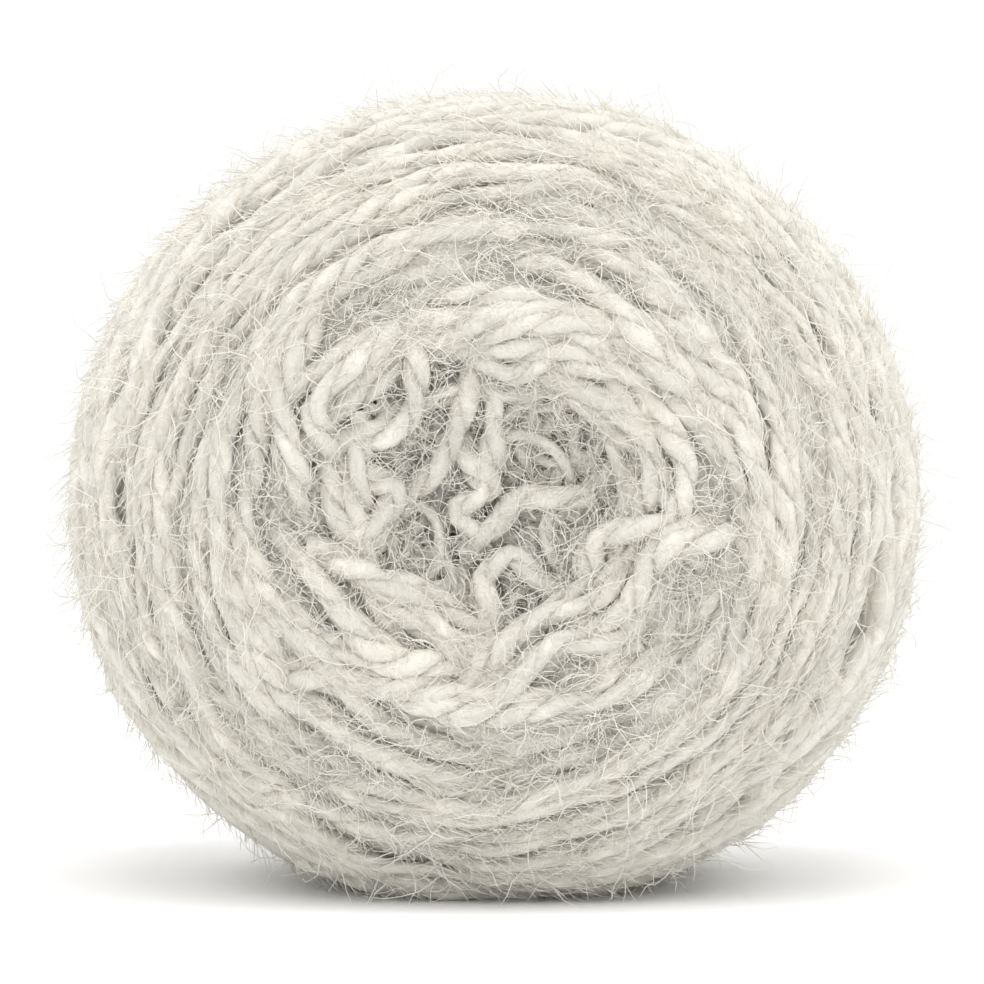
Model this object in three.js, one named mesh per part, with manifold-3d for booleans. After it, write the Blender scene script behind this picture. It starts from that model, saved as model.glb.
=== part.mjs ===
// A cake of thick, hairy two-ply yarn that lies on its side, wound round the Y axis. Millimetres, +Z up.
// The origin is on the flat spot that it rests on, under the middle of the cake. The end face from which
// the yarn pulls out faces -Y. It is one solid: the wound form with its turns as ridges, joined with the
// strands that lie loosely over one another in the middle of its faces.
import * as THREE from "three";
import { mergeVertices } from "three/addons/utils/BufferGeometryUtils.js";
import Module from "manifold-3d";

// Driving sizes
const WIDTH = 132; // across the cake, along X
const HEIGHT = 122.3; // from the flat spot to the top
const DEPTH = 105; // along the winding axis
const PRESSED = 4.7; // how far the weight presses the round form flat underneath
const STRAND = 4.2; // thickness of one strand of yarn
const RELIEF = 0.9; // a turn's crest above the wound form, and the gap beside it below
const WANDER = 2.2; // how far a turn strays to either side of its course on a face
const SLANT = 7; // how far it strays on the barrel, where it is wound to and fro
const COLUMNS = 38; // whole steps round one turn, which takes half a step more
const SLACK_MIDDLE = 27; // radius inside which the strands of the front face lie loosely
const DISH_RINGS = [18, 9]; // radii of the smooth dish under them
const DISH_DEPTH = 0.9; // how far that dish lies below the wound form
const BACK_HOLE = 6; // radius of the hole in the middle of the back face, where its turns end
const BACK_HOLE_DEPTH = 4;
const SIDES = 5; // sides of a loose strand

// The wound form from the front face's middle to the back face's: radius as a share of the half width,
// and place along the axis as a share of the half depth.
const PROFILE = [
  { radius: 0.0, along: -0.86 },
  { radius: 0.11, along: -0.87 },
  { radius: 0.22, along: -0.91 },
  { radius: 0.33, along: -0.965 },
  { radius: 0.46, along: -1.0 },
  { radius: 0.62, along: -0.975 },
  { radius: 0.77, along: -0.89 },
  { radius: 0.89, along: -0.74 },
  { radius: 0.965, along: -0.53 },
  { radius: 0.995, along: -0.26 },
  { radius: 1.0, along: 0.0 },
  { radius: 0.995, along: 0.26 },
  { radius: 0.965, along: 0.53 },
  { radius: 0.89, along: 0.74 },
  { radius: 0.77, along: 0.89 },
  { radius: 0.62, along: 0.975 },
  { radius: 0.46, along: 1.0 },
  { radius: 0.33, along: 0.97 },
  { radius: 0.22, along: 0.93 },
  { radius: 0.11, along: 0.9 },
  { radius: 0.0, along: 0.895 },
];

// Slow swells of the form: height in mm, waves round the axis, half waves along the profile, and phase.
const SWELLS = [
  { height: 0.5, round: 2, along: 3, phase: 0.6 },
  { height: 0.45, round: 3, along: 5, phase: 2.1 },
  { height: 0.35, round: 5, along: 4, phase: 4.0 },
];

// Strands that run round the slack middle of the front face. Each comes nearest the axis, "near" mm from
// it, at the angle "at" in degrees, and is "away" mm farther out at both ends, "sweep" degrees to either
// side. "lift" is the height in mm of a strand's middle over the wound form.
const FACE_STRANDS = [
  { at: 112, near: 27.1, sweep: 42, away: 5.0, lift: 0.5 },
  { at: 82, near: 23.9, sweep: 40, away: 4.0, lift: 0.3 },
  { at: 70, near: 27.6, sweep: 44, away: 4.0, lift: 0.9 },
  { at: 48, near: 20.7, sweep: 46, away: 7.0, lift: 0.8 },
  { at: 16, near: 25.5, sweep: 40, away: 7.0, lift: 1.1 },
  { at: 222, near: 25.3, sweep: 42, away: 6.0, lift: 0.9 },
  { at: 230, near: 20.4, sweep: 46, away: 8.0, lift: 1.2 },
  { at: 238, near: 16.0, sweep: 42, away: 8.0, lift: 1.6 },
  { at: 296, near: 22.0, sweep: 44, away: 6.0, lift: 0.9 },
  { at: 306, near: 17.0, sweep: 44, away: 8.0, lift: 1.4 },
];

// Loops of slack yarn in its middle: centre across and up from the axis, radius, and arc
const LOOPS = [
  { across: 3.8, up: 4.6, radius: 6.4, from: 175, sweep: -215, lift: 0.2 },
  { across: -2.8, up: -4.4, radius: 5.8, from: 35, sweep: 225, lift: 0.4 },
  { across: -4.7, up: 12.6, radius: 6.0, from: 215, sweep: -220, lift: 0.6 },
  { across: 13.2, up: 12.1, radius: 6.2, from: 190, sweep: -210, lift: 0.4 },
  { across: 12.3, up: -3.4, radius: 6.4, from: 255, sweep: -215, lift: 0.7 },
  { across: -11.8, up: -4.8, radius: 5.8, from: 120, sweep: -215, lift: 0.7 },
  { across: 3.3, up: 23.0, radius: 5.8, from: 190, sweep: 165, lift: 0.7 },
  { across: 12.7, up: 6.0, radius: 10.9, from: 65, sweep: -105, lift: 0.7 },
  { across: -12.3, up: 10.3, radius: 17.0, from: 128, sweep: 78, lift: 0.9 },
  { across: -17.9, up: 16.4, radius: 7.8, from: 80, sweep: 165, lift: 1.1 },
  { across: -18.9, up: 18.3, radius: 7.6, from: 60, sweep: -175, lift: 1.7 },
  { across: -21.2, up: -0.1, radius: 6.2, from: 95, sweep: -195, lift: 1.5 },
  { across: 26.0, up: -9.1, radius: 6.2, from: 210, sweep: -170, lift: 1.4 },
  { across: 17.9, up: -8.2, radius: 5.4, from: 225, sweep: -200, lift: 1.4 },
  { across: 1.4, up: -12.9, radius: 5.4, from: 220, sweep: -215, lift: 1.7 },
];
const LOOP_STEPS = 8;
const STEP_LENGTH = 7; // along a strand that runs round the middle
const BACK_LOOPS = 3; // the first so many are round the hole of the back face too
const BACK_TURN = 137; // degrees by which they are turned there

const degrees = THREE.MathUtils.degToRad;
const halfWidth = WIDTH / 2;
const halfHeight = (HEIGHT + PRESSED) / 2;
const halfDepth = DEPTH / 2;
const squash = halfHeight / halfWidth;

// The profile as evenly spaced points: x is the radius and y the place along the axis.
const PROFILE_STEPS = 500;
const profileCurve = new THREE.CatmullRomCurve3(
  PROFILE.map((p) => new THREE.Vector3(p.radius * halfWidth, p.along * halfDepth, 0)),
  false,
  "centripetal",
);
profileCurve.arcLengthDivisions = PROFILE_STEPS;
const profileLength = profileCurve.getLength();
const profilePoints = profileCurve.getSpacedPoints(PROFILE_STEPS);

function profileAt(share) {
  const place = THREE.MathUtils.clamp(share, 0, 1) * PROFILE_STEPS;
  const low = Math.min(Math.floor(place), PROFILE_STEPS - 1);
  return profilePoints[low].clone().lerp(profilePoints[low + 1], place - low);
}

// The share of the profile's length at which the front face has this radius
function shareAt(radius) {
  const next = profilePoints.findIndex((p) => p.x > radius);
  const { x: before } = profilePoints[next - 1];
  const { x: after } = profilePoints[next];
  return (next - 1 + (radius - before) / (after - before)) / PROFILE_STEPS;
}

const windingStart = shareAt(SLACK_MIDDLE);
const windingEnd = 1 - shareAt(BACK_HOLE);

function formPoint(share, angle) {
  const { x: radius, y: along } = profileAt(share);
  const reach = Math.max(radius, 0);
  return new THREE.Vector3(reach * Math.cos(angle), along, reach * Math.sin(angle) * squash);
}

// The direction straight out of the form, from two short steps along it and round it
const SLOPE_STEP = 0.004;

function outward(share, angle) {
  const inside = THREE.MathUtils.clamp(share, 2 * SLOPE_STEP, 1 - 2 * SLOPE_STEP);
  const along = formPoint(inside + SLOPE_STEP, angle).sub(formPoint(inside - SLOPE_STEP, angle));
  const round = formPoint(inside, angle + SLOPE_STEP).sub(formPoint(inside, angle - SLOPE_STEP));
  return along.cross(round).normalize();
}

function swell(share, angle) {
  const waves = SWELLS.map(
    (s) => s.height * Math.sin(s.round * angle + s.phase) * Math.sin(s.along * Math.PI * share),
  );
  return waves.reduce((sum, wave) => sum + wave, 0);
}

// How far a turn strays along the profile, as a share of the profile's length: a little on the faces and
// to and fro on the barrel. It keeps its course at both ends of the winding.
function stray(share, angle) {
  const wound = THREE.MathUtils.clamp((share - windingStart) / (windingEnd - windingStart), 0, 1);
  const onFace = 0.6 * Math.sin(2 * angle + 23 * share) + 0.4 * Math.sin(3 * angle - 41 * share);
  const onBarrel = 0.7 * Math.sin(2 * angle + 3 * share) + 0.3 * Math.sin(3 * angle + 14 * share);
  const middle = Math.sin(Math.PI * wound);
  return (WANDER * onFace * middle + SLANT * onBarrel * middle ** 4) / profileLength;
}

// A point over the form, swells included
function pointOver(share, angle, lift) {
  return formPoint(share, angle).addScaledVector(outward(share, angle), lift + swell(share, angle));
}

// The wound surface. A turn's crest and the gap beside it run together as a double spiral, one round for
// each strand's width, from the slack middle of the front face to the hole of the back face. Rings make
// the smooth dish of the slack middle.
function woundGeometry() {
  const wound = windingEnd - windingStart;
  const turns = Math.round((wound * profileLength) / STRAND);
  const last = COLUMNS * (turns - 1);
  const stepsRound = COLUMNS + 0.5;
  const pitch = wound / (last / stepsRound + 1);
  const turnAngle = (k) => (2 * Math.PI * k) / stepsRound;

  const spiral = Array.from({ length: last + 1 }, (_, k) => {
    const crest = windingStart + pitch * (0.25 + k / stepsRound);
    const gap = crest + pitch / 2;
    return [
      pointOver(crest + stray(crest, turnAngle(k)), turnAngle(k), RELIEF),
      pointOver(gap + stray(gap, turnAngle(k)), turnAngle(k), -RELIEF),
    ];
  });
  const dish = DISH_RINGS.map((radius) =>
    Array.from({ length: COLUMNS }, (_, k) => pointOver(shareAt(radius), turnAngle(k), -DISH_DEPTH)),
  );
  const middles = [pointOver(0, 0, -DISH_DEPTH), pointOver(1, 0, -BACK_HOLE_DEPTH)];
  const points = [...spiral.flat(), ...dish.flat(), ...middles];

  const crestOf = (k) => 2 * k;
  const gapOf = (k) => 2 * k + 1;
  const dishStart = 2 * spiral.length;
  const ringOf = (ring, k) => dishStart + ring * COLUMNS + (k % COLUMNS);
  const innermost = DISH_RINGS.length - 1;
  const front = points.length - 2;
  const back = points.length - 1;
  const faces = [];
  const patch = (a, b, c, d) => faces.push([a, b, c], [a, c, d]);
  for (let k = 0; k < last; k++) {
    patch(crestOf(k), gapOf(k), gapOf(k + 1), crestOf(k + 1));
    if (k < last - COLUMNS) patch(gapOf(k), crestOf(k + COLUMNS), crestOf(k + COLUMNS + 1), gapOf(k + 1));
  }
  for (let k = 0; k < COLUMNS; k++) {
    faces.push([front, ringOf(innermost, k), ringOf(innermost, k + 1)]);
    for (let ring = innermost; ring > 0; ring--) {
      patch(ringOf(ring, k), ringOf(ring - 1, k), ringOf(ring - 1, k + 1), ringOf(ring, k + 1));
    }
    patch(ringOf(0, k), crestOf(k), crestOf(k + 1), ringOf(0, k + 1));
    faces.push([back, gapOf(last - k), gapOf(last - k - 1)]);
  }
  faces.push([ringOf(0, 0), crestOf(COLUMNS), gapOf(0)], [ringOf(0, 0), gapOf(0), crestOf(0)]);
  faces.push([back, gapOf(last - COLUMNS), crestOf(last)], [back, crestOf(last), gapOf(last)]);

  const geometry = new THREE.BufferGeometry().setFromPoints(points);
  geometry.setIndex(faces.flat());
  return geometry;
}

const section = new THREE.Shape(
  Array.from({ length: SIDES }, (_, i) => {
    const angle = (2 * Math.PI * i) / SIDES;
    return new THREE.Vector2(Math.cos(angle), Math.sin(angle)).multiplyScalar(STRAND / 2);
  }),
);

function strandGeometry(points, steps) {
  const extrudePath = new THREE.CatmullRomCurve3(points);
  return new THREE.ExtrudeGeometry(section, { steps, bevelEnabled: false, extrudePath });
}

// A point over one end face, from its place across and up from the axis
function pointOverFace(across, up, lift, isBack) {
  const share = shareAt(Math.hypot(across, up));
  const angle = Math.atan2(up, across);
  return isBack ? pointOver(1 - share, angle + degrees(BACK_TURN), lift) : pointOver(share, angle, lift);
}

// Both ends of a loose strand dive under the others. Along it, "place" runs from -1 to 1.
const DIVES_FROM = 0.66;

function divedLift(lift, place) {
  return lift - STRAND * THREE.MathUtils.smoothstep(Math.abs(place), DIVES_FROM, 1);
}

function faceStrand(strand) {
  const length = 2 * degrees(strand.sweep) * (strand.near + strand.away / 2);
  const steps = Math.round(length / STEP_LENGTH);
  const points = Array.from({ length: steps + 1 }, (_, i) => {
    const place = (2 * i) / steps - 1;
    const angle = degrees(strand.at + place * strand.sweep);
    const radius = strand.near + strand.away * place ** 2;
    const lift = divedLift(strand.lift, place);
    return pointOverFace(radius * Math.cos(angle), radius * Math.sin(angle), lift, false);
  });
  return strandGeometry(points, steps);
}

function loopStrand(loop, isBack) {
  const points = Array.from({ length: LOOP_STEPS + 1 }, (_, i) => {
    const place = (2 * i) / LOOP_STEPS - 1;
    const angle = degrees(loop.from + (loop.sweep * (1 + place)) / 2);
    const across = loop.across + loop.radius * Math.cos(angle);
    const up = loop.up + loop.radius * Math.sin(angle);
    return pointOverFace(across, up, divedLift(loop.lift, place), isBack);
  });
  return strandGeometry(points, LOOP_STEPS);
}

// Keeps the outer skin alone, which fills the small hollows shut in under the loose strands.
function outerSkin(geometry) {
  const corners = Array.from(geometry.index.array);
  const leader = Array.from({ length: geometry.attributes.position.count }, (_, i) => i);
  const leaderOf = (point) => {
    let found = point;
    while (leader[found] !== found) found = leader[found];
    leader[point] = found;
    return found;
  };
  const firstCorner = (i) => corners[i - (i % 3)];
  corners.forEach((corner, i) => {
    leader[leaderOf(corner)] = leaderOf(firstCorner(i));
  });
  const skins = new Map();
  corners.forEach((corner, i) => {
    const key = leaderOf(firstCorner(i));
    if (!skins.has(key)) skins.set(key, []);
    skins.get(key).push(corner);
  });
  const [outer] = [...skins.values()].sort((a, b) => b.length - a.length);
  geometry.setIndex(outer);
  return geometry;
}

// Brings the joined form to its exact outer sizes, with the pressed part below the origin.
function fitToSizes(geometry) {
  geometry.computeBoundingBox();
  const size = geometry.boundingBox.getSize(new THREE.Vector3());
  const middle = geometry.boundingBox.getCenter(new THREE.Vector3());
  geometry.translate(-middle.x, -middle.y, -middle.z);
  geometry.scale(WIDTH / size.x, DEPTH / size.y, (HEIGHT + PRESSED) / size.z);
  geometry.translate(0, 0, (HEIGHT - PRESSED) / 2);
  return geometry;
}

const wasm = await Module();
wasm.setup();

function solidFrom(geometry) {
  geometry.deleteAttribute("normal");
  geometry.deleteAttribute("uv");
  const merged = mergeVertices(geometry, 1e-4);
  return new wasm.Manifold(
    new wasm.Mesh({
      numProp: 3,
      vertProperties: merged.attributes.position.array,
      triVerts: new Uint32Array(merged.index.array),
    }),
  );
}

function geometryFrom(solid) {
  const mesh = solid.getMesh();
  const geometry = new THREE.BufferGeometry();
  geometry.setAttribute("position", new THREE.BufferAttribute(mesh.vertProperties, 3));
  geometry.setIndex(new THREE.BufferAttribute(mesh.triVerts, 1));
  geometry.computeVertexNormals();
  return geometry;
}

// The cake is cut level where its weight presses it on the surface it lies on.
function pressedFlat(solid) {
  const below = new THREE.BoxGeometry(2 * WIDTH, 2 * DEPTH, HEIGHT).translate(0, 0, -HEIGHT / 2);
  return solid.subtract(solidFrom(below));
}

const yarn = new THREE.MeshStandardMaterial({ color: 0xdcd7ca, roughness: 0.95, metalness: 0 });
const looseStrands = [
  ...FACE_STRANDS.map(faceStrand),
  ...LOOPS.map((l) => loopStrand(l, false)),
  ...LOOPS.slice(0, BACK_LOOPS).map((l) => loopStrand(l, true)),
];
const joined = looseStrands.reduce((whole, s) => whole.add(solidFrom(s)), solidFrom(woundGeometry()));
const cakeGeometry = geometryFrom(pressedFlat(solidFrom(fitToSizes(outerSkin(geometryFrom(joined))))));
const cake = new THREE.Mesh(cakeGeometry, yarn);
cake.name = "cake";

const part = new THREE.Group();
part.add(cake);

export default part;
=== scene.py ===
"""A cake of thick, hairy two-ply yarn that lies on its side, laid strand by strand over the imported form.

The CAD model gives the outer form. Here each strand follows a course over that form and lies on the strands
under it, Geometry Nodes twist it from two plies, and loose hairs stand off the outer strands. Metres, +Z up.
"""

import math

import bpy
import numpy as np
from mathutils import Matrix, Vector


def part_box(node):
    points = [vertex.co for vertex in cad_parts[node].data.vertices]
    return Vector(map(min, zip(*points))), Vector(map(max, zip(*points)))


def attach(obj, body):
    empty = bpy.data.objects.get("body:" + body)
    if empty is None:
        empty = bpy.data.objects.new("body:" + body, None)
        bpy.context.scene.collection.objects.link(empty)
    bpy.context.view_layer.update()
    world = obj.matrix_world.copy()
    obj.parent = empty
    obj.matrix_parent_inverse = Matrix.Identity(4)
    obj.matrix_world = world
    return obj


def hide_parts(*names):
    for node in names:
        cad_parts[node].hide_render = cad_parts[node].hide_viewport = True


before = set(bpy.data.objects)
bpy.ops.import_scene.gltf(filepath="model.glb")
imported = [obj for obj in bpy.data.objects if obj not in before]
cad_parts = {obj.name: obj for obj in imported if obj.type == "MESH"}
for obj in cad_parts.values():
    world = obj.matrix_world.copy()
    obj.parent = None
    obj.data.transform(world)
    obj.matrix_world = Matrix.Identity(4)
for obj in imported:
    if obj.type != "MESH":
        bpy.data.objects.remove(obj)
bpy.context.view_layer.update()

MM = 0.001
TURN = 2 * math.pi

# The wound form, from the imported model
LOW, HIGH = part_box("cake")
PRESSED = 4.7 * MM  # how far the weight presses the round form flat underneath
HALF_WIDTH = HIGH.x
HALF_DEPTH = HIGH.y
HALF_HEIGHT = (HIGH.z + PRESSED) / 2
AXIS_Z = HALF_HEIGHT - PRESSED
SQUASH = HALF_HEIGHT / HALF_WIDTH

# The yarn, about 4 mm thick
PLY_OFFSET = 0.8 * MM  # from the strand's middle to a ply's
PLY_HALF_HEIGHT = 1.25 * MM
PLY_HALF_WIDTH = 1.65 * MM
LAY = 13 * MM  # length of one full twist of the plies
BARREL_LAY = 15 * MM  # of the strands that are wound tight
PARTED_DRIFT = 0.3  # how much farther apart or closer the plies get along a strand, as a share of PLY_OFFSET
LAY_DRIFT = 0.06  # how far the twist runs ahead or behind, as a share of a turn
PLY_SIDES = 5
SLUB = 0.12  # how much thicker or thinner a strand gets along its length

HAIR_REACH = 9 * MM  # how far the longest hairs stand out of the wound form

# Steps along a strand
FINE_STEP = 1.4 * MM
PLAIN_STEP = 2.1 * MM
BARREL_STEP = 2.5 * MM
COARSE_STEP = 3.2 * MM

# How the strands pile up: the firm part of a strand, and heights over the wound form
CELL = 1.0 * MM
FIRM_HALF_WIDTH = 1.7 * MM
FIRM_HALF_HEIGHT = 1.25 * MM
CORE_HEIGHT = -7.0 * MM
MIDDLE_SINK = 0.3 * MM  # how much lower the core lies in the middle of a face
HIGHEST = -1.3 * MM  # the strands' middles stay about this low, so that their tops reach the form
FACE_DROP = 3.2 * MM  # how much lower the barrel's winding stays on the faces, under their arcs
SOFTNESS = 0.8 * MM
SAG_LENGTH = 3.0 * MM  # a strand evens out the bumps under it over about this length
DIVE = 3.4 * MM  # how deep both ends of a strand go down among the others
DIVE_LENGTH = 14 * MM
FLOOR_GAP = 1.5 * MM  # lowest place of a strand's middle over the surface it lies on

# The wound form from the front face's middle to the back face's: radius as a share of the half width,
# and place along the axis as a share of the half depth.
PROFILE = [
    (0.0, -0.86),
    (0.11, -0.87),
    (0.22, -0.91),
    (0.33, -0.965),
    (0.46, -1.0),
    (0.62, -0.975),
    (0.77, -0.89),
    (0.89, -0.74),
    (0.965, -0.53),
    (0.995, -0.26),
    (1.0, 0.0),
    (0.995, 0.26),
    (0.965, 0.53),
    (0.89, 0.74),
    (0.77, 0.89),
    (0.62, 0.975),
    (0.46, 1.0),
    (0.33, 0.97),
    (0.22, 0.93),
    (0.11, 0.9),
    (0.0, 0.895),
]
PROFILE_STEPS = 600


def smooth_line(corners):
    """A smooth line through a few points, 40 steps from each to the next."""
    before = np.vstack([2 * corners[0] - corners[1], corners[:-1]])
    after = np.vstack([corners[1:], 2 * corners[-1] - corners[-2]])
    slope = (after - before) / 2
    t = np.linspace(0, 1, 40, endpoint=False)[:, None]
    from_start, from_end = 2 * t**3 - 3 * t**2 + 1, 3 * t**2 - 2 * t**3
    start_slope, end_slope = t**3 - 2 * t**2 + t, t**3 - t**2
    spans = [
        from_start * a + start_slope * u + from_end * b + end_slope * v
        for a, b, u, v in zip(corners[:-1], corners[1:], slope[:-1], slope[1:])
    ]
    return np.vstack(spans + [corners[-1:]])


def smooth_profile():
    """The profile as evenly spaced radii and places along the axis, and its length."""
    line = smooth_line(np.array(PROFILE) * (HALF_WIDTH, HALF_DEPTH))
    run = np.concatenate([[0], np.cumsum(np.linalg.norm(np.diff(line, axis=0), axis=1))])
    even = np.linspace(0, run[-1], PROFILE_STEPS + 1)
    return np.interp(even, run, line[:, 0]), np.interp(even, run, line[:, 1]), run[-1]


PROFILE_RADIUS, PROFILE_ALONG, PROFILE_LENGTH = smooth_profile()
PROFILE_RUN = np.linspace(0, PROFILE_LENGTH, PROFILE_STEPS + 1)
PROFILE_SLOPE = np.gradient(PROFILE_RADIUS, PROFILE_RUN), np.gradient(PROFILE_ALONG, PROFILE_RUN)


def form(run, angle):
    """Points of the wound form and the directions straight out of it. "run" is the distance along the
    profile from the front face's middle, and "angle" the place round the axis."""
    radius = np.interp(run, PROFILE_RUN, PROFILE_RADIUS)
    along = np.interp(run, PROFILE_RUN, PROFILE_ALONG)
    out = np.interp(run, PROFILE_RUN, PROFILE_SLOPE[1])
    back = -np.interp(run, PROFILE_RUN, PROFILE_SLOPE[0])
    across, up = np.cos(angle), np.sin(angle)
    points = np.stack([radius * across, along, AXIS_Z + radius * up * SQUASH], -1)
    outward = np.stack([out * across, back, out * up / SQUASH], -1)
    return points, outward / np.linalg.norm(outward, axis=1)[:, None]


def run_at(radius):
    """Distance along the profile at which the front face has this radius."""
    half = PROFILE_STEPS // 2
    return np.interp(radius, PROFILE_RADIUS[:half], PROFILE_RUN[:half])


def smoothed(values, steps):
    """The values evened out over about so many steps."""
    reach = int(3 * steps) + 1
    weights = np.exp(-0.5 * (np.arange(-reach, reach + 1) / steps) ** 2)
    padded = np.pad(values, reach, mode="edge")
    return np.convolve(padded, weights / weights.sum(), mode="valid")


def eased(values):
    """0 below 0, 1 above 1, and a soft rise between them."""
    held = np.clip(values, 0, 1)
    return held * held * (3 - 2 * held)


def waver(chance, length, size, waves):
    """A slow, random to and fro along a strand of this length, as a function of the distance along it."""
    parts = [(size / (k + 1), chance.uniform(0, TURN), TURN * (k + 0.7) / waves) for k in range(3)]
    return sum(a * np.sin(b + c * length) for a, b, c in parts)


def middle_sink(radius):
    """How much lower the core lies at this distance from the axis."""
    return MIDDLE_SINK * (1 - eased((radius - 12 * MM) / (16 * MM)))


class Pile:
    """How high the yarn lies above the wound form, kept in small cells on the form."""

    shifts = np.linspace(-0.88, 0.88, 5) * FIRM_HALF_WIDTH
    rises = FIRM_HALF_HEIGHT * np.sqrt(1 - (shifts / FIRM_HALF_WIDTH) ** 2)
    # A strand fills the cells this far ahead of and behind each of its points, and above and below it
    steps = (-0.5 * MM, 0, 0.5 * MM)
    depths = (-0.7 * MM, 0, 0.7 * MM)

    def __init__(self):
        margin = 2 * PRESSED
        self.low = np.array(LOW) - margin
        self.counts = np.ceil((np.array(HIGH) - self.low + margin) / CELL).astype(int)
        across, up = (self.low[k] + CELL * (np.arange(self.counts[k]) + 0.5) for k in (0, 2))
        radius = np.hypot(across[:, None], (up[None, :] - AXIS_Z) / SQUASH)
        height = np.repeat((CORE_HEIGHT - middle_sink(radius))[:, None, :], self.counts[1], axis=1)
        self.height = height.ravel()

    def cells(self, points):
        place = ((points - self.low) / CELL).astype(int)
        place = np.clip(place, 0, self.counts - 1)
        return (place[..., 0] * self.counts[1] + place[..., 1]) * self.counts[2] + place[..., 2]

    def frame_of(self, points, outward):
        ahead = np.gradient(points, axis=0)
        ahead /= np.linalg.norm(ahead, axis=1)[:, None]
        return ahead, np.cross(outward, ahead)

    def support(self, points, outward, thick):
        """The lowest height at which a strand along these points clears what lies under it."""
        _, side = self.frame_of(points, outward)
        places = zip(self.shifts * thick, self.rises * thick)
        return np.max([self.height[self.cells(points + s * side)] + r for s, r in places], axis=0)

    def add(self, points, outward, lift, thick=1.0):
        ahead, side = self.frame_of(points, outward)
        for shift, rise in zip(self.shifts * thick, self.rises * thick):
            for step in self.steps:
                for depth in self.depths:
                    spots = points + shift * side + step * ahead + depth * outward
                    np.maximum.at(self.height, self.cells(spots), lift + rise)

    def lay(self, points, outward, step, before=None, raised=0.0, highest=HIGHEST, thick=1.0):
        """The heights of one length of a strand that is laid on the pile."""
        lift = smoothed(self.support(points, outward, thick), 1.0)
        if before is not None:
            lift[0] = before
        lift = smoothed(lift, SAG_LENGTH / step) + raised
        over = (lift - highest) / SOFTNESS
        return highest + SOFTNESS * (over - np.logaddexp(0, over))


class Strand:
    """One strand's centre line, with what its plies and hairs need to know at each point."""

    def __init__(self, points, outward, lift, step, chance, thick=1.0, parted=1.0):
        self.outward = outward
        self.lift = lift
        self.form_points = points
        place = points + outward * lift[:, None]
        place[:, 2] = np.maximum(place[:, 2], FLOOR_GAP)
        self.points = place
        self.ahead = np.gradient(place, axis=0)
        self.run = np.arange(len(points)) * step
        self.turn = chance.uniform() + waver(chance, self.run, LAY_DRIFT, 60 * MM)
        self.thick = thick * (1 + waver(chance, self.run, SLUB, 23 * MM))
        self.parted = np.clip(parted + waver(chance, self.run, PARTED_DRIFT, 40 * MM), 0.2, 1.3)


def even_steps(run, angle, step):
    """A course over the form again, in even steps along it."""
    points, _ = form(run, angle)
    length = np.concatenate([[0], np.cumsum(np.linalg.norm(np.diff(points, axis=0), axis=1))])
    even = np.arange(0, length[-1], step)
    return np.interp(even, length, run), np.interp(even, length, angle), even


def laid(pile, run, angle, step, chance, raised=0.0, dives=True, wander=0.7 * MM, thick=1.0, parted=1.0):
    """Lays a strand along a course on the pile. "parted" is how far its plies stand apart."""
    run, angle, length = even_steps(run, np.unwrap(angle), step)
    run = np.abs(run + waver(chance, length, wander, 37 * MM))
    points, outward = form(run, angle)
    lift = pile.lay(points, outward, step, raised=raised, highest=HIGHEST + raised, thick=thick)
    if dives:
        to_end = np.minimum(length, length[-1] - length)
        lift = lift - DIVE * (1 - eased(to_end / min(DIVE_LENGTH, 0.3 * length[-1])))
    pile.add(points, outward, lift, thick)
    return Strand(points, outward, lift, step, chance, thick, parted)


# Courses of strands

COURSE_STEPS = 400
BASE_PITCH = 3.7 * MM
BASE_START = 6 * MM  # from the front face's middle
BASE_END = 6 * MM  # from the back face's


def base_turns(pile, chance):
    """The lower turns that show only between the upper strands, wound as one spiral."""
    turns = (PROFILE_LENGTH - BASE_START - BASE_END) / BASE_PITCH
    angle = np.linspace(0, TURN * turns, int(120 * turns))
    run = BASE_START + BASE_PITCH * angle / TURN
    return [laid(pile, run, angle, COARSE_STEP, chance, dives=False, wander=0.8 * MM)]


ARC_PITCH = 3.0 * MM
ARC_THICK = 0.95  # a single arc's thickness, as a share of a full strand's
SLACK_PARTED = 1.05  # how far apart the plies of slack strands stand, against PLY_OFFSET
UNDER = 2.4 * MM  # how much lower the arcs lie that are wound before the barrel is


def face_arcs(pile, chance, first, last, per_turn, step, is_back=False, lower=0.0):
    """Arcs round a face, each a little farther out than the one before it."""
    strands = []
    count = int((last - first) / ARC_PITCH * per_turn)
    at = chance.uniform(0, TURN)
    for k in range(count):
        outer = (first + (last - first) * k / count) / HALF_WIDTH
        near = outer * HALF_WIDTH + chance.normal(0, 1.0 * MM)
        sweep = math.radians(chance.uniform(55, 90))
        away = (9.0 - 4.5 * outer + chance.normal(0, 1.5)) * MM
        at += TURN / per_turn * chance.uniform(0.75, 1.25) + 0.35
        parted = np.interp(outer, (0.55, 0.85), (0.95, 0.5)) + chance.normal(0, 0.1)
        thick = np.interp(outer, (0.55, 0.85), (0.97, 0.74)) * chance.uniform(0.87, 1.05)
        strands.append(arc(pile, chance, at, near, sweep, away, step, is_back, -lower, parted, thick))
    return strands


def arc(
    pile, chance, at, near, sweep, away, step, is_back=False, raised=0.0, parted=SLACK_PARTED, thick=ARC_THICK
):
    """A strand that comes nearest the face's middle at one angle and runs outwards to both ends."""
    place = np.linspace(-1, 1, COURSE_STEPS)
    run = near + away * place**2
    angle = at + sweep * place
    run = PROFILE_LENGTH - run if is_back else run
    return laid(pile, run, angle, step, chance, raised, thick=thick, parted=parted)


def over_face(pile, chance, across, up, step, is_back=False, raised=0.0, thick=1.0, parted=SLACK_PARTED):
    """A strand over a face, from its places across and up from the axis."""
    run = run_at(np.hypot(across, up))
    run = PROFILE_LENGTH - run if is_back else run
    angle = np.arctan2(up, across)
    return laid(pile, run, angle, step, chance, raised, wander=0.3 * MM, thick=thick, parted=parted)


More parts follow.
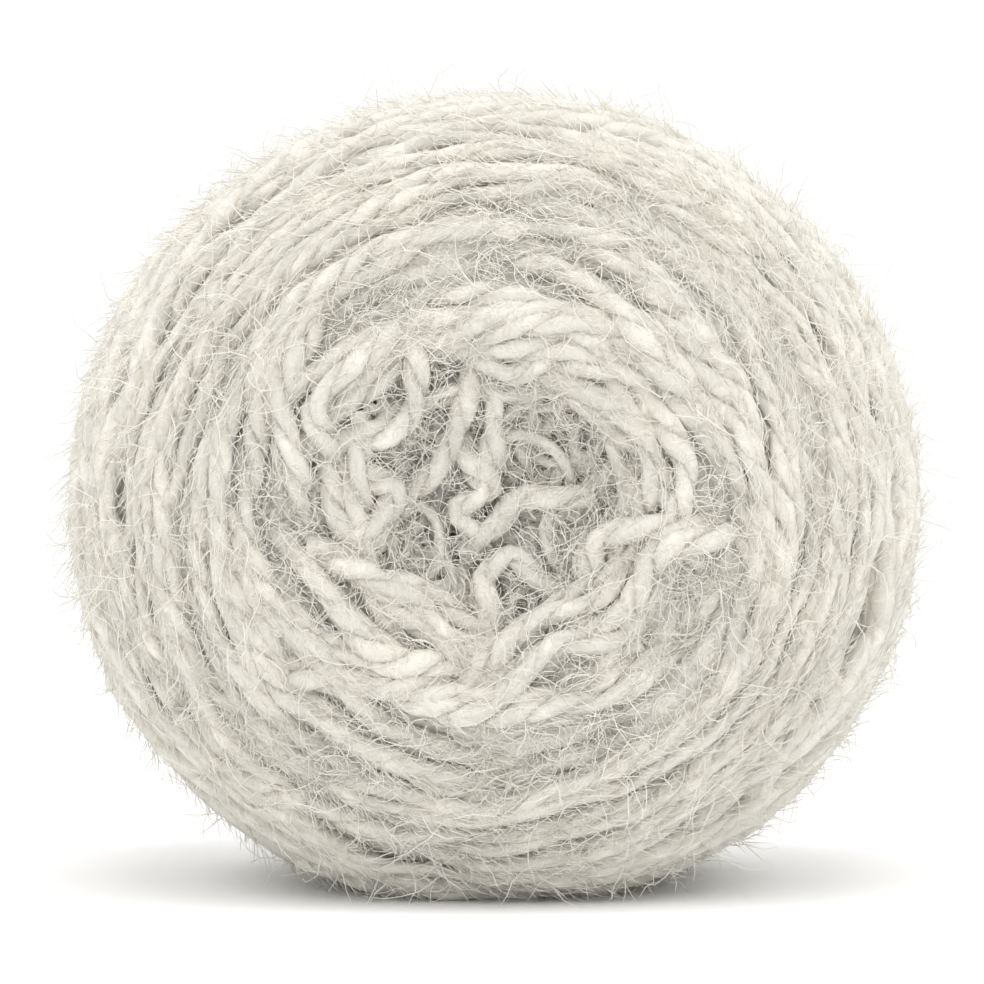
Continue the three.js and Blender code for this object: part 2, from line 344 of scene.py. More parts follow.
LOOP_THICK = 0.57  # the slack loops' thickness, as a share of the other strands'
LOOP_PARTED = 0.55


def loop(pile, chance, across, up, radius, start, sweep, step, is_back=False, raised=0.0):
    """A loop of slack yarn: a round of this radius about a place across and up from the axis."""
    angle = np.radians(start + sweep * np.linspace(0, 1, COURSE_STEPS))
    across = across + radius * chance.uniform(0.75, 1.2) * np.cos(angle)
    up = up + radius * np.sin(angle)
    return over_face(pile, chance, across, up, step, is_back, raised, LOOP_THICK, LOOP_PARTED)


def filler_loops(pile, chance, count, reach, step, is_back=False):
    """Slack loops spread over a face's middle, under the ones that show."""
    strands = []
    for k in range(count):
        away, at = reach * math.sqrt((k + 0.5) / count), 2.4 * k
        radius = chance.uniform(3, 7) * MM
        sweep = chance.choice([-1, 1]) * chance.uniform(150, 260)
        start = chance.uniform(0, 360)
        place = away * math.cos(at), away * math.sin(at)
        strands.append(loop(pile, chance, *place, radius, start, sweep, step, is_back))
    return strands


# Slack strands in the front's middle that run round it. Millimetres and degrees.
FACE_STRANDS = [
    {"at": 112, "near": 27.1, "sweep": 42, "away": 5.0},
    {"at": 82, "near": 23.9, "sweep": 40, "away": 4.0},
    {"at": 70, "near": 27.6, "sweep": 44, "away": 4.0},
    {"at": 48, "near": 20.7, "sweep": 46, "away": 7.0},
    {"at": 16, "near": 25.5, "sweep": 40, "away": 7.0},
    {"at": 222, "near": 25.3, "sweep": 42, "away": 6.0},
    {"at": 230, "near": 20.4, "sweep": 46, "away": 8.0},
    {"at": 238, "near": 16.0, "sweep": 42, "away": 8.0},
    {"at": 296, "near": 22.0, "sweep": 44, "away": 6.0},
    {"at": 306, "near": 17.0, "sweep": 44, "away": 8.0},
]

# Loops of slack yarn in its middle: centre across and up from the axis, radius, and arc
LOOPS = [
    {"across": 3.8, "up": 4.6, "radius": 6.4, "from": 175, "sweep": -215},
    {"across": -2.8, "up": -4.4, "radius": 5.8, "from": 35, "sweep": 225},
    {"across": -4.7, "up": 12.6, "radius": 6.0, "from": 215, "sweep": -220},
    {"across": 13.2, "up": 12.1, "radius": 6.2, "from": 190, "sweep": -210},
    {"across": 12.3, "up": -3.4, "radius": 6.4, "from": 255, "sweep": -215},
    {"across": -11.8, "up": -4.8, "radius": 5.8, "from": 120, "sweep": -215},
    {"across": 3.3, "up": 23.0, "radius": 5.8, "from": 190, "sweep": 165},
    {"across": 12.7, "up": 6.0, "radius": 10.9, "from": 65, "sweep": -105},
    {"across": -12.3, "up": 10.3, "radius": 17.0, "from": 128, "sweep": 78},
    {"across": -17.9, "up": 16.4, "radius": 7.8, "from": 80, "sweep": 165},
    {"across": -18.9, "up": 18.3, "radius": 7.6, "from": 60, "sweep": -175},
    {"across": -21.2, "up": -0.1, "radius": 6.2, "from": 95, "sweep": -195},
    {"across": 26.0, "up": -9.1, "radius": 6.2, "from": 210, "sweep": -170},
    {"across": 17.9, "up": -8.2, "radius": 5.4, "from": 225, "sweep": -200},
    {"across": 1.4, "up": -12.9, "radius": 5.4, "from": 220, "sweep": -215},
]


# Other strands in the middle that show, by the places across and up from the axis that they run through
SHORT_STRANDS = [
    {"across": (-21.5, -11.5, -5.0), "up": (-8.0, -14.0, -21.0)},
    {"across": (-28.0, -22.0, -16.5, -8.0), "up": (-7.5, -15.5, -22.5, -23.0)},
    {"across": (-41.0, -36.5, -33.0, -30.0), "up": (-5.0, -10.0, -15.5, -19.5)},
    {"across": (-29.5, -23.0, -16.0, -11.5), "up": (-24.5, -26.5, -27.0, -26.0)},
    {"across": (-0.5, 6.5, 15.5, 19.0), "up": (-22.0, -16.5, -13.5, -9.0)},
    {"across": (1.0, 5.5, 9.0, 15.5), "up": (-28.0, -23.5, -20.0, -19.5)},
    {"across": (-2.0, 6.5, 14.0, 18.5), "up": (30.0, 31.0, 30.0, 27.5)},
    {"across": (-2.0, 9.5, 15.5), "up": (27.5, 28.5, 25.5)},
    {"across": (1.0, 9.5, 14.0), "up": (25.0, 25.0, 22.5)},
    {"across": (-0.5, 2.5, 6.5), "up": (22.5, 21.0, 22.5)},
    {"across": (-11.5, -11.5, -12.5, -15.0, -18.0), "up": (24.5, 19.5, 15.0, 12.5, 11.5)},
    {"across": (-14.5, -22.5, -26.0, -24.5), "up": (27.0, 20.5, 15.0, 11.5)},
    {"across": (-17.5, -15.0, -15.5, -19.5), "up": (5.0, 4.0, 1.0, -3.0)},
    {"across": (-28.0, -31.0, -28.0), "up": (27.5, 18.0, 3.5)},
    {"across": (-20.0, -20.5, -20.0), "up": (8.5, 5.0, 0.5)},
    {"across": (-4.0, -7.0, -9.5), "up": (17.0, 8.5, 5.0)},
    {"across": (0.0, 0.0, -0.5), "up": (14.0, 11.0, 8.0)},
    {"across": (-3.0, -1.0, -5.5, -4.0), "up": (7.0, 3.5, 0.5, -2.5)},
    {"across": (0.0, 4.0, 9.5), "up": (-2.0, 2.0, 2.0)},
    {"across": (-1.0, -1.5, 2.5, 5.5), "up": (-14.0, -10.5, -7.0, -9.5)},
    {"across": (14.0, 15.5, 21.5, 28.5), "up": (-9.5, -4.5, -2.5, -2.0)},
    {"across": (20.5, 23.5, 27.0, 33.0), "up": (-12.5, -6.5, -4.5, -3.5)},
    {"across": (9.5, 15.5, 23.5), "up": (20.0, 17.0, 11.0)},
    {"across": (18.5, 23.0, 22.0), "up": (16.5, 8.5, 1.0)},
    {"across": (24.5, 28.0, 26.5), "up": (14.0, 7.0, -0.5)},
    {"across": (21.5, 30.0, 39.0), "up": (37.0, 23.0, 6.5)},
    {"across": (15.5, 21.5, 30.0), "up": (34.0, 26.0, 12.5)},
]
TUCKED = 6 * MM  # how far such a strand runs on at each end, down among the others
STANDS_OUT = 1.6 * MM  # how much higher it lies than the others do


def short_strand(pile, chance, row):
    """One strand through the row's places, with its ends tucked in."""
    places = np.stack([row["across"], row["up"]], -1) * MM
    start, end = places[0] - places[1], places[-1] - places[-2]
    first = places[0] + TUCKED * start / np.linalg.norm(start)
    last = places[-1] + TUCKED * end / np.linalg.norm(end)
    across, up = smooth_line(np.vstack([first, places, last])).T
    return over_face(pile, chance, across, up, FINE_STEP, raised=STANDS_OUT)


def slack_strands(pile, chance):
    """The strands and loops in the middle of the front face that show."""
    strands = []
    for row in FACE_STRANDS:
        at, sweep = math.radians(row["at"]), math.radians(row["sweep"])
        near = run_at(row["near"] * MM)
        strands.append(arc(pile, chance, at, near, sweep, row["away"] * MM, FINE_STEP, raised=STANDS_OUT / 3))
    for row in LOOPS:
        place = row["across"] * MM, row["up"] * MM
        radius = row["radius"] * MM
        turn = row["from"], row["sweep"]
        strands.append(loop(pile, chance, *place, radius, *turn, FINE_STEP, raised=STANDS_OUT / 2))
    return strands + [short_strand(pile, chance, row) for row in SHORT_STRANDS]


# The outer winding, which runs to and fro over the barrel and turns round on the outer part of the faces
BARREL_ROUNDS = 38
BARREL_WAVE = 0.8  # towards 1, the yarn crosses the barrel straighter and turns sharper
BARREL_DRIFT = 0.0137  # share of a round by which each round is set off from the last but one
ROUND_STEPS = 240
HELD_BACK = 4  # points at a length's end that wait for the next length, which would climb over them


def barrel_winding(pile, chance, step):
    """One long strand, wound to and fro over the barrel."""
    angle = np.linspace(0, TURN * BARREL_ROUNDS, ROUND_STEPS * BARREL_ROUNDS)
    swing = np.arcsin(BARREL_WAVE * np.sin(angle * (0.5 + BARREL_DRIFT))) / math.asin(BARREL_WAVE)
    reach = PROFILE_LENGTH * (0.265 + waver(chance, angle, 0.016, 19) + waver(chance, angle, 0.01, 5))
    run, angle, _ = even_steps(PROFILE_LENGTH / 2 + swing * reach, angle, step)
    points, outward = form(run, angle)
    heights = np.zeros(0)
    added = 0
    chunk = int(150 * MM / step)
    for start in range(0, len(points) - chunk // 2, chunk):
        stop = start + chunk if start + 1.5 * chunk < len(points) else len(points)
        part = slice(start, stop)
        from_middle = np.abs(run[part] - PROFILE_LENGTH / 2)
        highest = HIGHEST - FACE_DROP * eased((from_middle - 38 * MM) / (10 * MM))
        before = heights[-1] if start else None
        heights = np.append(heights, pile.lay(points[part], outward[part], step, before, highest=highest))
        done = slice(added, stop - HELD_BACK)
        pile.add(points[done], outward[done], heights[done])
        added = stop - HELD_BACK
    lift = smoothed(heights, 1.5)
    return [Strand(points, outward, lift, step, chance, parted=0.6)]


# Node trees


class Graph:
    """Short calls that build a node tree."""

    def __init__(self, name, kind, inputs, outputs):
        self.tree = bpy.data.node_groups.new(name, kind)
        for label, socket, value in inputs:
            made = self.tree.interface.new_socket(label, in_out="INPUT", socket_type=socket)
            if value is not None:
                made.default_value = value
        for label, socket in outputs:
            self.tree.interface.new_socket(label, in_out="OUTPUT", socket_type=socket)
        self.inputs = self.tree.nodes.new("NodeGroupInput").outputs
        self.outputs = self.tree.nodes.new("NodeGroupOutput").inputs

    def put(self, socket, value):
        if isinstance(value, bpy.types.NodeSocket):
            self.tree.links.new(value, socket)
        else:
            socket.default_value = value

    def node(self, kind, values=(), **settings):
        made = self.tree.nodes.new(kind)
        for name, value in settings.items():
            setattr(made, name, value)
        for name, value in dict(values).items():
            self.put(made.inputs[name], value)
        return made

    def maths(self, operation, *values):
        made = self.node("ShaderNodeMath", operation=operation)
        for socket, value in zip(made.inputs, values):
            self.put(socket, value)
        return made.outputs[0]

    def vector(self, operation, *values):
        made = self.node("ShaderNodeVectorMath", operation=operation)
        for socket, value in zip(made.inputs, values):
            self.put(socket, value)
        return made.outputs["Value" if operation in ("DOT_PRODUCT", "LENGTH") else "Vector"]

    def scaled(self, vector, factor):
        made = self.node("ShaderNodeVectorMath", {"Vector": vector, "Scale": factor}, operation="SCALE")
        return made.outputs["Vector"]

    def ranged(self, value, low, high, to_low=0.0, to_high=1.0, soft=True):
        kind = "SMOOTHSTEP" if soft else "LINEAR"
        values = {"Value": value, "From Min": low, "From Max": high, "To Min": to_low, "To Max": to_high}
        return self.node("ShaderNodeMapRange", values, interpolation_type=kind).outputs["Result"]

    def combined(self, x, y, z=0.0):
        return self.node("ShaderNodeCombineXYZ", {"X": x, "Y": y, "Z": z}).outputs[0]

    def separated(self, vector):
        return self.node("ShaderNodeSeparateXYZ", {"Vector": vector}).outputs

    def circle(self, sides, radius):
        values = {"Resolution": sides, "Radius": radius}
        return self.node("GeometryNodeCurvePrimitiveCircle", values).outputs[0]


GEOMETRY = "NodeSocketGeometry"
FLOAT = "NodeSocketFloat"
INTEGER = "NodeSocketInt"
VECTOR = "NodeSocketVector"
COLOUR = "NodeSocketColor"
MATERIAL = "NodeSocketMaterial"


def geometry_graph(name, inputs):
    sockets = [("Geometry", GEOMETRY, None), *inputs, ("Material", MATERIAL, None)]
    return Graph(name, "GeometryNodeTree", sockets, [("Geometry", GEOMETRY)])


def attribute(graph, name, kind="FLOAT"):
    made = graph.node("GeometryNodeInputNamedAttribute", {"Name": name}, data_type=kind)
    return made.outputs["Attribute"]


def kept(graph, geometry, name, value, kind="FLOAT"):
    values = {"Geometry": geometry, "Name": name, "Value": value}
    return graph.node("GeometryNodeStoreNamedAttribute", values, data_type=kind, domain="POINT").outputs[0]


def within_reach(graph, geometry):
    """The same geometry, pressed flat on the surface that the cake lies on and held near the wound form."""
    position = graph.node("GeometryNodeInputPosition").outputs[0]
    lowest = (LOW.x - HAIR_REACH, LOW.y - HAIR_REACH, 0.0)
    highest = tuple(side + HAIR_REACH for side in HIGH)
    place = graph.vector("MINIMUM", graph.vector("MAXIMUM", position, lowest), highest)
    return graph.node("GeometryNodeSetPosition", {"Geometry": geometry, "Position": place}).outputs[0]


def finished(graph, geometry):
    """Smooth shading, the material, and no instances left."""
    smooth = graph.node("GeometryNodeSetShadeSmooth", {"Geometry": geometry}).outputs[0]
    real = graph.node("GeometryNodeRealizeInstances", {"Geometry": smooth}).outputs[0]
    values = {"Geometry": real, "Material": graph.inputs["Material"]}
    made = graph.node("GeometryNodeSetMaterial", values).outputs[0]
    graph.tree.links.new(made, graph.outputs["Geometry"])
    return graph.tree


# How far the grain is set off along each strand and each ply, so that no two look the same
STRAND_GRAIN_SHIFT = 3.0
PLY_GRAIN_SHIFT = 1.7


def yarn_tree(name, plies):
    """Twists a strand from its plies along each centre line."""
    graph = geometry_graph(
        name,
        [
            ("Ply Offset", FLOAT, PLY_OFFSET),
            ("Ply Half Height", FLOAT, PLY_HALF_HEIGHT),
            ("Ply Half Width", FLOAT, PLY_HALF_WIDTH),
            ("Lay", FLOAT, LAY),
            ("Sides", INTEGER, PLY_SIDES),
        ],
    )
    line = graph.node("GeometryNodeMeshToCurve", {"Mesh": graph.inputs["Geometry"]}).outputs[0]
    twist = graph.maths("DIVIDE", attribute(graph, "run"), graph.inputs["Lay"])
    twist = graph.maths("MULTIPLY", graph.maths("SUBTRACT", attribute(graph, "turn"), twist), TURN)
    normal = graph.node("GeometryNodeInputNormal").outputs["Normal"]
    tangent = graph.node("GeometryNodeInputTangent").outputs[0]
    beside = graph.vector("CROSS_PRODUCT", tangent, normal)

    around = graph.node("GeometryNodeInputPosition").outputs[0]
    ring = kept(graph, graph.circle(graph.inputs["Sides"], 1.0), "around", around, "FLOAT_VECTOR")
    section = graph.combined(graph.inputs["Ply Half Height"], graph.inputs["Ply Half Width"])
    place = graph.vector("MULTIPLY", around, section)
    ring = graph.node("GeometryNodeSetPosition", {"Geometry": ring, "Position": place}).outputs[0]

    both = graph.node("GeometryNodeJoinGeometry")
    for ply in range(plies):
        angle = graph.maths("ADD", twist, ply * TURN / plies)
        one = graph.scaled(normal, graph.maths("COSINE", angle))
        other = graph.scaled(beside, graph.maths("SINE", angle))
        line_kept = kept(graph, line, "away", graph.vector("ADD", one, other), "FLOAT_VECTOR")
        away = attribute(graph, "away", "FLOAT_VECTOR")
        thick = attribute(graph, "thick")
        parted = graph.maths("MULTIPLY", graph.inputs["Ply Offset"], attribute(graph, "parted"))
        offset = graph.scaled(away, graph.maths("MULTIPLY", parted, thick))
        moved = graph.node("GeometryNodeSetPosition", {"Geometry": line_kept, "Offset": offset}).outputs[0]
        turned = graph.node("GeometryNodeSetCurveNormal", {"Curve": moved, "Normal": away}, mode="FREE")
        values = {"Curve": turned.outputs[0], "Profile Curve": ring, "Scale": thick, "Fill Caps": True}
        ply_mesh = graph.node("GeometryNodeCurveToMesh", values).outputs[0]
        parts = graph.separated(attribute(graph, "around", "FLOAT_VECTOR"))
        turn = attribute(graph, "turn")
        shifted = graph.maths("MULTIPLY_ADD", turn, STRAND_GRAIN_SHIFT, ply * PLY_GRAIN_SHIFT)
        run = graph.maths("ADD", attribute(graph, "run"), shifted)
        fibre = graph.combined(parts["X"], parts["Y"], run)
        ply_mesh = kept(graph, ply_mesh, "fibre", fibre, "FLOAT_VECTOR")
        graph.tree.links.new(ply_mesh, both.inputs[0])
    return finished(graph, within_reach(graph, both.outputs[0]))


HAIR_INPUTS = [
    ("Density", FLOAT, 1.0),
    ("More in Hollows", FLOAT, 2.0),
    ("Shortest", FLOAT, 3 * MM),
    ("Longest", FLOAT, 6 * MM),
    ("Thickness", FLOAT, 0.14 * MM),
    ("Rise", FLOAT, 0.5),
    ("Spread", FLOAT, math.pi),
    ("Seed", INTEGER, 1),
]

# Added to the seed, so that a hair's random values don't follow one another
RISE_SALT = 11
SPIN_SALT = 23
LENGTH_SALT = 37
BEND_SALT = 53


def random_value(graph, salt, low, high):
    made = graph.node("FunctionNodeRandomValue", data_type="FLOAT")
    graph.put(made.inputs[2], low)
    graph.put(made.inputs[3], high)
    graph.put(made.inputs["Seed"], graph.maths("ADD", graph.inputs["Seed"], float(salt)))
    return made.outputs[1]


def random_swing(graph, salt, name):
    """A random value up to the group's input of this name, either way."""
    limit = graph.inputs[name]
    return random_value(graph, salt, graph.maths("MULTIPLY", limit, -1.0), limit)


def hair_roots(graph):
    """Random places on the outer strands, and at each the length of a hair and the three ways it can go."""
    face_normal = graph.node("GeometryNodeInputNormal").outputs["Normal"]
    facing = graph.vector("DOT_PRODUCT", face_normal, attribute(graph, "outward", "FLOAT_VECTOR"))
    shows = graph.maths("MULTIPLY", graph.ranged(facing, -0.35, 0.15), attribute(graph, "exposed"))
    hollow = graph.ranged(attribute(graph, "depth"), 0.25, 0.6, 1.0, graph.inputs["More in Hollows"])
    density = graph.maths("MULTIPLY", graph.maths("MULTIPLY", shows, hollow), graph.inputs["Density"])
    values = {"Mesh": graph.inputs["Geometry"], "Density": density, "Seed": graph.inputs["Seed"]}
    spread = graph.node("GeometryNodeDistributePointsOnFaces", values, distribute_method="RANDOM").outputs

    normal = spread["Normal"]
    ahead = attribute(graph, "ahead", "FLOAT_VECTOR")
    side = graph.vector("NORMALIZE", graph.vector("CROSS_PRODUCT", normal, ahead))
    ahead = graph.vector("CROSS_PRODUCT", side, normal)
    spin = random_swing(graph, SPIN_SALT, "Spread")
    one, other = graph.maths("COSINE", spin), graph.maths("SINE", spin)
    forwards = graph.vector("ADD", graph.scaled(ahead, one), graph.scaled(side, other))
    aside = graph.vector("SUBTRACT", graph.scaled(side, one), graph.scaled(ahead, other))
    rise = random_value(graph, RISE_SALT, -0.02, graph.inputs["Rise"])
    along, upwards = graph.maths("COSINE", rise), graph.maths("SINE", rise)
    forwards = graph.vector("ADD", graph.scaled(forwards, along), graph.scaled(normal, upwards))
    points = spread["Points"]
    ways = {
        "root": graph.node("GeometryNodeInputPosition").outputs[0],
        "root_normal": normal,
        "forwards": forwards,
        "aside": aside,
    }
    for name, way in ways.items():
        points = kept(graph, points, name, way, "FLOAT_VECTOR")
    length = random_value(graph, LENGTH_SALT, graph.inputs["Shortest"], graph.inputs["Longest"])
    return kept(graph, points, "length", length)


def hair_line(graph, points):
    """A straight line from 0 to 1 that keeps how far along it each of its points is."""
    line = graph.node("GeometryNodeCurvePrimitiveLine", {"Start": (0.0, 0.0, 0.0), "End": (1.0, 0.0, 0.0)})
    line = graph.node("GeometryNodeResampleCurve", {"Curve": line.outputs[0], "Count": points}).outputs[0]
    return kept(graph, line, "place", graph.node("GeometryNodeSplineParameter").outputs["Factor"])


def on_roots(graph, points, hair):
    made = graph.node("GeometryNodeInstanceOnPoints", {"Points": points, "Instance": hair}).outputs[0]
    return graph.node("GeometryNodeRealizeInstances", {"Geometry": made}).outputs[0]


LEAST_BEND = 0.3  # no long hair is straighter than this


def long_hair_tree():
    """Lays long hairs over the outer strands: thin tapered tubes, each with its own bend."""
    own_inputs = [
        ("Bend", FLOAT, 3.0),
        ("Curl Size", FLOAT, 3 * MM),
        ("Curl", FLOAT, 1 * MM),
        ("Segments", INTEGER, 8),
    ]
    graph = geometry_graph("long hairs", HAIR_INPUTS + own_inputs)
    points = hair_roots(graph)
    points = kept(graph, points, "bend", random_swing(graph, BEND_SALT, "Bend"))
    hairs = on_roots(graph, points, hair_line(graph, graph.maths("ADD", graph.inputs["Segments"], 1.0)))

    place = attribute(graph, "place")
    length = attribute(graph, "length")
    bend = attribute(graph, "bend")
    bend = graph.maths("ADD", bend, graph.maths("MULTIPLY", graph.maths("SIGN", bend), LEAST_BEND))
    turned = graph.maths("MULTIPLY", bend, place)
    radius = graph.maths("DIVIDE", length, bend)
    forwards = graph.maths("MULTIPLY", graph.maths("SINE", turned), radius)
    aside = graph.maths("MULTIPLY", graph.maths("SUBTRACT", 1.0, graph.maths("COSINE", turned)), radius)
    spot = graph.vector(
        "ADD",
        graph.scaled(attribute(graph, "forwards", "FLOAT_VECTOR"), forwards),
        graph.scaled(attribute(graph, "aside", "FLOAT_VECTOR"), aside),
    )
    spot = graph.vector("ADD", spot, attribute(graph, "root", "FLOAT_VECTOR"))
    coarse = graph.scaled(spot, graph.maths("DIVIDE", 1.0, graph.inputs["Curl Size"]))
    coarse = graph.vector("ADD", coarse, graph.scaled(attribute(graph, "aside", "FLOAT_VECTOR"), 2.0))
    noise = graph.node("ShaderNodeTexNoise", {"Vector": coarse, "Scale": 1.0, "Detail": 1.0}).outputs["Color"]
    push = graph.vector("SUBTRACT", noise, (0.5, 0.5, 0.5))
    strength = graph.maths("MULTIPLY", graph.maths("MULTIPLY", place, 4.0), graph.inputs["Curl"])
    spot = graph.vector("ADD", spot, graph.scaled(push, strength))
    curled = graph.node("GeometryNodeSetPosition", {"Geometry": hairs, "Position": spot}).outputs[0]

    half = graph.maths("MULTIPLY", graph.inputs["Thickness"], 0.5)
    section = graph.circle(3, half)
    taper = graph.maths("SUBTRACT", 1.0, graph.maths("MULTIPLY", graph.maths("POWER", place, 2.0), 0.7))
    values = {"Curve": curled, "Profile Curve": section, "Scale": taper, "Fill Caps": True}
    tubes = graph.node("GeometryNodeCurveToMesh", values).outputs[0]
    return finished(graph, within_reach(graph, tubes))


def to_middle(graph, place):
    """From 0 at both ends of a hair to 1 in its middle, from how far along it a place is."""
    away = graph.maths("ABSOLUTE", graph.maths("MULTIPLY_ADD", place, 2.0, -1.0))
    return graph.maths("SUBTRACT", 1.0, away)


def fuzz_tree():
    """Covers the outer strands with short fibres, each a thin bent spindle of six faces."""
    graph = geometry_graph("fuzz", HAIR_INPUTS + [("Bow", FLOAT, 0.2)])
    section = graph.circle(3, 0.5)
    taper = to_middle(graph, graph.node("GeometryNodeSplineParameter").outputs["Factor"])
    values = {"Curve": hair_line(graph, 3), "Profile Curve": section, "Scale": taper, "Fill Caps": False}
    spindle = graph.node("GeometryNodeCurveToMesh", values).outputs[0]
    spindle = graph.node("GeometryNodeMergeByDistance", {"Geometry": spindle, "Distance": 0.001}).outputs[0]
    own_place = graph.node("GeometryNodeInputPosition").outputs[0]
    spindle = kept(graph, spindle, "local", own_place, "FLOAT_VECTOR")
    points = hair_roots(graph)
    bow = random_swing(graph, BEND_SALT, "Bow")
    points = kept(graph, points, "bow", graph.maths("MULTIPLY", bow, attribute(graph, "length")))
    hairs = on_roots(graph, points, spindle)

    parts = graph.separated(attribute(graph, "local", "FLOAT_VECTOR"))
    forwards = attribute(graph, "forwards", "FLOAT_VECTOR")
    aside = attribute(graph, "aside", "FLOAT_VECTOR")
    upwards = graph.vector("CROSS_PRODUCT", forwards, aside)
    spot = graph.scaled(forwards, graph.maths("MULTIPLY", parts["X"], attribute(graph, "length")))
    bowed = graph.maths("MULTIPLY", to_middle(graph, parts["X"]), attribute(graph, "bow"))
    spot = graph.vector("ADD", spot, graph.scaled(aside, bowed))
    for way, part in ((aside, parts["Y"]), (upwards, parts["Z"])):
        shift = graph.maths("MULTIPLY", part, graph.inputs["Thickness"])
        spot = graph.vector("ADD", spot, graph.scaled(way, shift))
    spot = graph.vector("ADD", spot, attribute(graph, "root", "FLOAT_VECTOR"))
    placed = graph.node("GeometryNodeSetPosition", {"Geometry": hairs, "Position": spot}).outputs[0]
    return finished(graph, within_reach(graph, placed))


def with_tree(thing, tree, values):
    """The object's mesh as the tree makes it, as a plain mesh without the modifier."""
    modifier = thing.modifiers.new(tree.name, "NODES")
    modifier.node_group = tree
    for socket in tree.interface.items_tree:
        if socket.in_out == "INPUT" and socket.name in values:
            modifier[socket.identifier] = values[socket.name]
    graph = bpy.context.evaluated_depsgraph_get()
    made = bpy.data.meshes.new_from_object(thing.evaluated_get(graph))
    thing.modifiers.clear()
    old = thing.data
    thing.data = made
    made.name = thing.name
    bpy.data.meshes.remove(old)
    return thing


def new_object(name, mesh):
    thing = bpy.data.objects.new(name, mesh)
    bpy.context.scene.collection.objects.link(thing)
    return thing


STRAND_VALUES = ("run", "turn", "thick", "parted")
HIDDEN_UNDER = 1.6 * MM  # a strand with this much yarn over it has no hairs that show
DEEPEST = 8 * MM  # how deep a strand lies where its depth counts as 1


def keep_values(mesh, floats, vectors):
    """Keeps values at the mesh's points, for the node trees and the finishes."""
    for label, values in floats.items():
        values = values.astype(np.float32)
        mesh.attributes.new(label, "FLOAT", "POINT").data.foreach_set("value", values)
    for label, values in vectors.items():
        values = values.astype(np.float32).ravel()
        mesh.attributes.new(label, "FLOAT_VECTOR", "POINT").data.foreach_set("vector", values)


def centre_lines(name, strands, pile):
    """A mesh of the strands' centre lines, with their attributes."""
    mesh = bpy.data.meshes.new(name)
    points = np.vstack([s.points for s in strands])
    starts = np.cumsum([0] + [len(s.points) for s in strands])
    edges = [(i, i + 1) for a, b in zip(starts[:-1], starts[1:]) for i in range(a, b - 1)]
    mesh.from_pydata(points.tolist(), edges, [])
    over = [pile.height[pile.cells(s.form_points)] - s.lift - FIRM_HALF_HEIGHT for s in strands]
    floats = {label: np.concatenate([getattr(s, label) for s in strands]) for label in STRAND_VALUES}
    floats["exposed"] = 1 - eased(np.concatenate(over) / HIDDEN_UNDER)
    floats["depth"] = np.concatenate([np.clip(-s.lift / DEEPEST, 0, 1) for s in strands])
    vectors = {label: np.vstack([getattr(s, label) for s in strands]) for label in ("outward", "ahead")}
    keep_values(mesh, floats, vectors)
    return new_object(name, mesh)


WEB_REACH = 62 * MM
WEB_LEVEL = 0.8  # how high in a hollow its web lies, from its bottom at 0 to the strands round it at 1
WEB_DEEP = 4 * MM  # how deep a hollow is that has the most hairs
WEB_MIDDLE = 0.45  # how many of them lie everywhere over the slack middle
WEB_CELLS = 4  # how many cells away the strands round a hollow are looked for


def web_sheet(pile):
    """A sheet over the hollows between the front face's strands, for the hairs that bridge them."""
    side = np.arange(-WEB_REACH, WEB_REACH, CELL)
    across, up = (grid.ravel() for grid in np.meshgrid(side, side, indexing="ij"))
    radius = np.hypot(across, up)
    points, outward = form(run_at(radius), np.arctan2(up, across))
    height = pile.height[pile.cells(points)].reshape(len(side), -1)
    near = range(-WEB_CELLS, WEB_CELLS + 1)
    shifts = [(a, b) for a in near for b in near if a * a + b * b <= WEB_CELLS**2]
    top = np.max([np.roll(height, shift, (0, 1)) for shift in shifts], axis=0)
    top = np.mean([np.roll(top, shift, (0, 1)) for shift in shifts], axis=0)
    hollow = np.maximum(top - height, 0)
    level = (height + hollow * WEB_LEVEL).ravel()
    near = 1 - eased((radius - 0.8 * WEB_REACH) / (0.18 * WEB_REACH))
    middle = WEB_MIDDLE * (1 - eased((radius - 20 * MM) / (14 * MM)))
    corner = np.arange(len(side) ** 2).reshape(len(side), -1)
    corners = (corner[:-1, :-1], corner[1:, :-1], corner[1:, 1:], corner[:-1, 1:])
    faces = np.stack([c.ravel() for c in corners], -1)
    mesh = bpy.data.meshes.new("front_web")
    mesh.from_pydata((points + outward * level[:, None]).tolist(), [], faces.tolist())
    exposed = np.maximum(eased(hollow.ravel() / WEB_DEEP) * near, middle)
    floats = {"exposed": exposed, "depth": np.zeros(len(points))}
    keep_values(mesh, floats, {"outward": outward, "ahead": np.cross(outward, (0, 0, 1))})
    return new_object("front_web", mesh)


# Finishes


def mixed_colour(graph, factor, one, other):
    """A mix of two colours. The node's sockets go by number, as several of them have the same name."""
    return graph.node("ShaderNodeMix", {0: factor, 6: one, 7: other}, data_type="RGBA").outputs[2]


